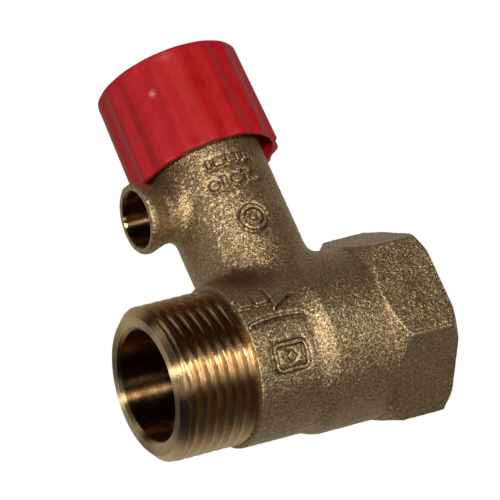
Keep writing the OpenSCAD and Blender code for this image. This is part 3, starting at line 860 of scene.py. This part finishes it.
def mat_cast_brass():
    m = Mat("cast_brass_sand")
    grain = m.noise(2.6, 3.0, 0.62)
    fine = m.noise(6.5, 2.0, 0.6)
    blotch = m.noise(0.16, 3.0, 0.55, dist=0.6)
    cell = m.voronoi(4.2, out="Color")
    base = m.mix(m.mapr(blotch, 0.35, 0.68, 0, 1), (0.58, 0.42, 0.215), (0.68, 0.515, 0.285))
    base = m.mix(m.mapr(grain, 0.38, 0.60, 0, 1), m.mix(0.60, base, (0.13, 0.075, 0.038)), base)
    base = m.mix(m.mapr(fine, 0.52, 0.70, 0, 0.6), base, (0.80, 0.64, 0.40))
    speck = m.voronoi(3.4)
    base = m.mix(m.mapr(speck, 0.44, 0.64, 0, 0.5), base, (0.14, 0.08, 0.042))
    # painted shade: the barrel top at the foot of the branch is darkened to deep brown, where shade falls between the
    # branch and the barrel
    foot = m.n("ShaderNodeVectorMath")
    foot.operation = "DISTANCE"
    m.l(m.co, foot.inputs[0])
    foot.inputs[1].default_value = (BX - 7.0, -8.0, 11.0)
    near = m.math("ADD", foot.outputs["Value"], m.math("MULTIPLY", m.noise(0.5, 3.0, 0.6), 5.0))
    base = m.mix(m.mapr(near, 4.5, 9.0, 0.8, 0.0), base, (0.15, 0.075, 0.05))
    # painted shade and highlight: hollows are darkened as if in shade, and raised edges are lightened, partly as
    # rubbed wear and partly as a painted highlight
    pt = m.pointiness()
    base = m.mix(m.mapr(pt, 0.45, 0.493, 0.9, 0.0), base, (0.06, 0.036, 0.016))
    base = m.mix(m.mapr(pt, 0.525, 0.58, 0.0, 0.5), base, (0.80, 0.66, 0.42))
    rough = m.mapr(m.noise(3.3, 2.0), 0.35, 0.7, 0.36, 0.52)
    h = m.math("ADD", m.math("MULTIPLY", grain, 0.75), m.math("MULTIPLY", fine, 0.3))
    nrm = m.bump(h, 0.00018, 0.8)
    # each sand grain catches the light its own way
    sub = m.n("ShaderNodeVectorMath")
    sub.operation = "SUBTRACT"
    m.l(cell, sub.inputs[0])
    sub.inputs[1].default_value = (0.5, 0.5, 0.5)
    sc = m.n("ShaderNodeVectorMath")
    sc.operation = "SCALE"
    sc.inputs["Scale"].default_value = 0.38
    m.l(sub.outputs[0], sc.inputs[0])
    add = m.n("ShaderNodeVectorMath")
    m.l(nrm, add.inputs[0])
    m.l(sc.outputs[0], add.inputs[1])
    nn = m.n("ShaderNodeVectorMath")
    nn.operation = "NORMALIZE"
    m.l(add.outputs[0], nn.inputs[0])
    return m.set(Base_Color=base, Metallic=0.88, Roughness=rough, Normal=nn.outputs[0])


def mat_turned_brass(name="turned_brass", axis="x", tone=(0.65, 0.47, 0.25), rough=(0.21, 0.31), aniso=1.0):
    m = Mat(name)
    st = (9.0, 0.15, 0.15) if axis == "x" else (0.15, 0.15, 9.0)
    lines = m.noise(1.0, 4.0, 0.7, co=m.stretch(*st))
    smear = m.noise(0.45, 3.0, 0.6, dist=0.8)
    tint = m.mix(m.mapr(smear, 0.35, 0.7, 0, 1), tone, (tone[0] * 0.86, tone[1] * 0.72, tone[2] * 0.55))
    tint = m.mix(m.mapr(lines, 0.3, 0.75, 0, 0.35), tint, (tone[0] * 0.62, tone[1] * 0.5, tone[2] * 0.38))
    r = m.math("ADD", m.mapr(lines, 0.3, 0.7, rough[0], rough[1]), m.mapr(smear, 0.4, 0.8, 0.0, 0.10))
    nrm = m.bump(lines, 0.00005, 0.5)
    nrm = m.bump(m.noise(2.2, 3.0, 0.55), 0.00002, 0.3, nrm)
    # tool marks run round the axis, so light spreads along it, and outward over the flat ends
    axv = (1, 0, 0) if axis == "x" else (0, 0, 1)
    geo = m.n("ShaderNodeNewGeometry")
    dt = m.n("ShaderNodeVectorMath")
    dt.operation = "DOT_PRODUCT"
    m.l(geo.outputs["True Normal"], dt.inputs[0])
    dt.inputs[1].default_value = axv
    flat = m.mapr(m.math("ABSOLUTE", dt.outputs["Value"]), 0.93, 0.98, 0, 1)
    sp = m.n("ShaderNodeSeparateXYZ")
    m.l(m.co, sp.inputs[0])
    rad = m.n("ShaderNodeCombineXYZ")
    if axis == "x":
        zz = m.math("SUBTRACT", sp.outputs[2], m.math("MULTIPLY", m.math("GREATER_THAN", sp.outputs[2], 20.0), 29.5))
        m.l(sp.outputs[1], rad.inputs[1])
        m.l(zz, rad.inputs[2])
        # painted shade: the skin inside the bores is darkened browner; it is also made smoother
        ln = m.n("ShaderNodeVectorMath")
        ln.operation = "LENGTH"
        m.l(rad.outputs[0], ln.inputs[0])
        lim = m.math("SUBTRACT", 9.72, m.math("MULTIPLY", m.math("GREATER_THAN", sp.outputs[2], 20.0), 4.7))
        inside = m.mapr(m.math("SUBTRACT", lim, ln.outputs["Value"]), -0.12, 0.12, 0, 1)
        tint = m.mix(m.math("MULTIPLY", inside, 0.9), tint, (tone[0] * 0.56, tone[1] * 0.44, tone[2] * 0.33))
        r = m.math("SUBTRACT", r, m.math("MULTIPLY", inside, 0.06))
    else:
        m.l(m.math("SUBTRACT", sp.outputs[0], BX), rad.inputs[0])
        m.l(sp.outputs[1], rad.inputs[1])
    if axis == "x":
        # painted light: the underside is lightened as if lit from below, and made rougher
        low = m.mapr(m.math("ADD", sp.outputs[2], m.math("MULTIPLY", smear, 4.0)), -2.5, -7.5, 0, 1)
        low = m.math("MULTIPLY", low, m.math("SUBTRACT", 1.0, inside))
        tint = m.mix(m.math("MULTIPLY", low, 0.7), tint, (0.95, 0.74, 0.46))
        r = m.math("ADD", r, m.math("MULTIPLY", low, 0.10))
    rn = m.n("ShaderNodeVectorMath")
    rn.operation = "NORMALIZE"
    m.l(rad.outputs[0], rn.inputs[0])
    tint = m.mix(m.math("MULTIPLY", flat, 0.7), tint, (0.90, 0.72, 0.45))
    r = m.math("ADD", r, m.math("MULTIPLY", flat, 0.16))
    mixv = m.n("ShaderNodeMix")
    mixv.data_type = "VECTOR"
    m.l(flat, mixv.inputs[0])
    mixv.inputs[4].default_value = axv
    m.l(rn.outputs[0], mixv.inputs[5])
    m.l(mixv.outputs[1], m.b.inputs["Tangent"])
    return m.set(Base_Color=tint, Metallic=1.0, Roughness=r, Normal=nrm, Anisotropic=aniso)


def mat_red_plastic():
    m = Mat("red_plastic_moulded")
    soft = m.noise(0.35, 2.0, 0.5)
    speck = m.noise(7.0, 2.0, 0.6)
    col = m.mix(m.mapr(soft, 0.35, 0.65, 0, 1), (0.43, 0.0068, 0.011), (0.50, 0.010, 0.017))
    rough = m.math("ADD", m.mapr(speck, 0.35, 0.7, 0.38, 0.50), m.mapr(soft, 0.3, 0.7, 0.0, 0.06))
    nrm = m.bump(speck, 0.00003, 0.35)
    nrm = m.bump(m.noise(0.5, 1.0), 0.0002, 0.12, nrm)
    # painted highlight: a pale spot on the gate pip
    pd = m.n("ShaderNodeVectorMath")
    pd.operation = "DISTANCE"
    m.l(m.co, pd.inputs[0])
    a = math.radians(-133.2)
    pd.inputs[1].default_value = (BX + 13.0 * math.cos(a), 13.0 * math.sin(a), 47.3)
    col = m.mix(m.mapr(pd.outputs["Value"], 0.4, 1.1, 0.42, 0.0), col, (0.85, 0.30, 0.30))
    mm = m.set(Base_Color=col, Metallic=0.0, Roughness=rough, Normal=nrm, IOR=1.42)
    m.b.inputs["Subsurface Weight"].default_value = 0.08
    m.b.inputs["Subsurface Radius"].default_value = (0.0012, 0.0003, 0.0002)
    return mm


def mat_steel(name, tone=(0.62, 0.63, 0.65), axis="z", rough=(0.22, 0.38)):
    m = Mat(name)
    st = (7.0, 0.2, 0.2) if axis == "x" else (0.2, 0.2, 7.0)
    lines = m.noise(1.0, 3.0, 0.65, co=m.stretch(*st))
    blot = m.noise(0.7, 2.0)
    col = m.mix(m.mapr(blot, 0.35, 0.7, 0, 1), tone, tuple(c * 0.8 for c in tone))
    return m.set(Base_Color=col, Metallic=1.0, Roughness=m.mapr(lines, 0.3, 0.7, *rough),
                 Normal=m.bump(lines, 0.00002, 0.4))


def mat_soft(name, a, b, rough=(0.5, 0.7), scale=5.0, bump=0.00004):
    m = Mat(name)
    g = m.noise(scale, 3.0, 0.6)
    big = m.noise(0.5, 2.0)
    col = m.mix(m.mapr(m.math("ADD", g, big), 0.75, 1.25, 0, 1), a, b)
    return m.set(Base_Color=col, Metallic=0.0, Roughness=m.mapr(g, 0.3, 0.7, *rough), Normal=m.bump(g, bump, 0.5))


cast = mat_cast_brass()
turned = mat_turned_brass()
turned_z = mat_turned_brass("turned_brass_upright", "z", (0.78, 0.58, 0.31), (0.3, 0.4), 0.8)
red = mat_red_plastic()
steel = mat_steel("stainless_steel")
steel_x = mat_steel("stainless_steel_run", axis="x")
wire = mat_steel("spring_wire", (0.52, 0.53, 0.55), rough=(0.25, 0.42))
rubber = mat_soft("black_rubber", (0.012, 0.012, 0.013), (0.03, 0.03, 0.031), (0.55, 0.75))
gasket = mat_soft("sealing_sheet", (0.07, 0.065, 0.06), (0.12, 0.115, 0.10), (0.7, 0.85), 3.0, 0.00008)
black = mat_soft("black_acetal", (0.012, 0.012, 0.014), (0.022, 0.022, 0.024), (0.30, 0.45), 2.0, 0.00002)
white = mat_soft("natural_acetal", (0.62, 0.61, 0.56), (0.72, 0.71, 0.66), (0.32, 0.48), 1.6, 0.00002)

NODE_MATS = {
    "check_seat": black, "check_oring": rubber, "check_cage": white, "check_poppet": black, "check_seal": rubber,
    "check_retainer": steel_x, "relief_disc": rubber, "disc_washer": steel, "disc_screw": steel,
    "disc_holder": turned_z, "relief_stem": turned_z, "spring_washer": steel, "bonnet": turned_z,
    "bonnet_gasket": gasket, "stem_oring": rubber, "cam_ring": white, "cap_washer": steel, "cap_nut": turned_z,
}
for node, mat in NODE_MATS.items():
    ob = bpy.data.objects.get(node) or frame["nodes"][node]
    if len(ob.material_slots) == 0:
        ob.data.materials.append(mat)
    for s in ob.material_slots:
        s.link = "OBJECT"
        s.material = mat
    # join the faces at their shared points, then ease every sharp edge
    wd = ob.modifiers.new("join", "WELD")
    wd.merge_threshold = 2e-7
    bv = ob.modifiers.new("edge", "BEVEL")
    bv.width = 0.0001
    bv.segments = 2
    bv.limit_method = "ANGLE"
    bv.angle_limit = math.radians(35)
    bv.harden_normals = False
    wn = ob.modifiers.new("shade", "WEIGHTED_NORMAL")
    wn.weight = 50
    wn.keep_sharp = False

body = build_body(cast, turned)
cap = build_cap(red)
build_springs(wire)

# ---------------------------------------------------------------- camera, light, floor

# camera turned to the photo's viewing angle: rows are right, down and forward in the row frame
ROT = np.array([[0.86948, -0.31084, -0.3839], [-0.21337, 0.46459, -0.85943], [0.4455, 0.82918, 0.33763]])
TR = np.array([6.2423, 16.8048, 837.9249])
pos = (-ROT.T @ TR + np.array([BX, 0, 0])) / 1000.0
right, up, back = ROT[0], -ROT[1], -ROT[2]
cd = bpy.data.cameras.new("camera")
cam = bpy.data.objects.new("camera", cd)
bpy.context.scene.collection.objects.link(cam)
cam.matrix_world = Matrix([[right[i], up[i], back[i], pos[i]] for i in range(3)] + [[0, 0, 0, 1]])
cd.sensor_width = 36.0
cd.lens = 360.0
cd.clip_start, cd.clip_end = 0.01, 20.0
bpy.context.scene.camera = cam

centre = Vector(((-0.02), 0, 0.016))
R_, U_, F_ = Vector(right), Vector(up), Vector(ROT[2])


def lamp(name, az, el, dist, w, h, power, colour=(1, 1, 1)):
    """Area lamp placed az degrees right and el degrees up of the camera, seen from the object."""
    a, e = math.radians(az), math.radians(el)
    d = (-F_ * math.cos(a) + R_ * math.sin(a)) * math.cos(e) + U_ * math.sin(e)
    ld = bpy.data.lights.new(name, "AREA")
    ld.shape, ld.size, ld.size_y, ld.energy, ld.color = "RECTANGLE", w, h, power, colour
    ob = bpy.data.objects.new(name, ld)
    bpy.context.scene.collection.objects.link(ob)
    p = centre + d * dist
    z = d.normalized()
    x = U_.cross(z).normalized()
    y = z.cross(x)
    ob.matrix_world = Matrix([[x[i], y[i], z[i], p[i]] for i in range(3)] + [[0, 0, 0, 1]])
    return ob


lamp("key", -4, 10.5, 1.2, 0.21, 0.10, 10.6, (1.0, 0.97, 0.91))
lamp("fill_low", 4, -12, 1.2, 0.4, 0.06, 1.1, (1.0, 0.95, 0.88))
lamp("left_soft", -80, 10, 1.1, 0.4, 0.9, 1.0)
lamp("right_soft", 30, 7, 1.1, 0.3, 0.3, 2.4, (1.0, 0.96, 0.9))

w = bpy.data.worlds.new("studio")
bpy.context.scene.world = w
w.use_nodes = True
nt = w.node_tree
nt.nodes.clear()
out = nt.nodes.new("ShaderNodeOutputWorld")
bg_cam = nt.nodes.new("ShaderNodeBackground")
bg_cam.inputs[0].default_value = (1, 1, 1, 1)
bg_cam.inputs[1].default_value = 1.0
bg_env = nt.nodes.new("ShaderNodeBackground")
tc = nt.nodes.new("ShaderNodeTexCoord")
dot = nt.nodes.new("ShaderNodeVectorMath")
dot.operation = "DOT_PRODUCT"
dot.inputs[1].default_value = tuple(-F_)
nt.links.new(tc.outputs["Generated"], dot.inputs[0])
# brightness by angle from the camera: a dim room in front, the white sweep behind
dup = nt.nodes.new("ShaderNodeVectorMath")
dup.operation = "DOT_PRODUCT"
dup.inputs[1].default_value = tuple(U_ * 0.16)
nt.links.new(tc.outputs["Generated"], dup.inputs[0])
both = nt.nodes.new("ShaderNodeMath")
nt.links.new(dot.outputs["Value"], both.inputs[0])
nt.links.new(dup.outputs["Value"], both.inputs[1])
mr = nt.nodes.new("ShaderNodeMapRange")
mr.inputs["From Min"].default_value, mr.inputs["From Max"].default_value = -1, 1
nt.links.new(both.outputs[0], mr.inputs["Value"])
cr = nt.nodes.new("ShaderNodeValToRGB")
stops = [(0.0, 0.46), (0.18, 0.42), (0.30, 0.22), (0.40, 0.04), (0.50, 0.012), (0.90, 0.010), (0.975, 0.04), (1.0, 0.05)]
el = cr.color_ramp.elements
while len(el) < len(stops):
    el.new(0.5)
for k, (p, v) in enumerate(stops):
    el[k].position = p
    el[k].color = (v, v * 0.93, v * 0.82, 1)
nt.links.new(mr.outputs[0], cr.inputs[0])
nt.links.new(cr.outputs[0], bg_env.inputs[0])
bg_env.inputs[1].default_value = 1.0
lp = nt.nodes.new("ShaderNodeLightPath")
mx = nt.nodes.new("ShaderNodeMixShader")
nt.links.new(lp.outputs["Is Camera Ray"], mx.inputs[0])
nt.links.new(bg_env.outputs[0], mx.inputs[1])
nt.links.new(bg_cam.outputs[0], mx.inputs[2])
nt.links.new(mx.outputs[0], out.inputs[0])

# pale floor just under the hexagon; it is seen from above only, so the low camera looks past it
n = 96
th = np.arange(n) * 2 * math.pi / n
rad = np.array([0.05, 0.15, 0.4, 1.0, 3.0])
V = np.concatenate([np.stack([r * np.cos(th), r * np.sin(th), np.zeros(n)], -1) for r in rad] + [np.zeros((1, 3))])
Q = [(k * n + j, k * n + (j + 1) % n, (k + 1) * n + (j + 1) % n, (k + 1) * n + j) for k in range(4) for j in range(n)]
T = [(len(V) - 1, (j + 1) % n, j) for j in range(n)]
V[:, 2] = cad_lo[2] - 0.0002
V[:, 0] += centre[0]
floor = make_mesh("floor", V, np.array(Q)[:, ::-1], np.array(T)[:, ::-1])
fm = Mat("pale_floor")
fm.set(Base_Color=fm.mix(fm.mapr(fm.noise(0.02, 2.0), 0.3, 0.7, 0, 1), (0.80, 0.80, 0.79), (0.84, 0.84, 0.83)), Roughness=0.7, Emission_Color=(0.92, 0.92, 0.9),
       Emission_Strength=0.42)
geo = fm.n("ShaderNodeNewGeometry")
lpn = fm.n("ShaderNodeLightPath")
tr = fm.n("ShaderNodeBsdfTransparent")
mxs = fm.n("ShaderNodeMixShader")
hide = fm.math("MAXIMUM", geo.outputs["Backfacing"], fm.math("SUBTRACT", 1.0, lpn.outputs["Is Camera Ray"]))
fm.l(hide, mxs.inputs[0])
fm.l(fm.b.outputs[0], mxs.inputs[1])
fm.l(tr.outputs[0], mxs.inputs[2])
fm.l(mxs.outputs[0], fm.out.inputs[0])
set_mat(floor, fm.m)

bpy.context.scene.view_settings.view_transform = "Standard"
bpy.context.view_layer.update()
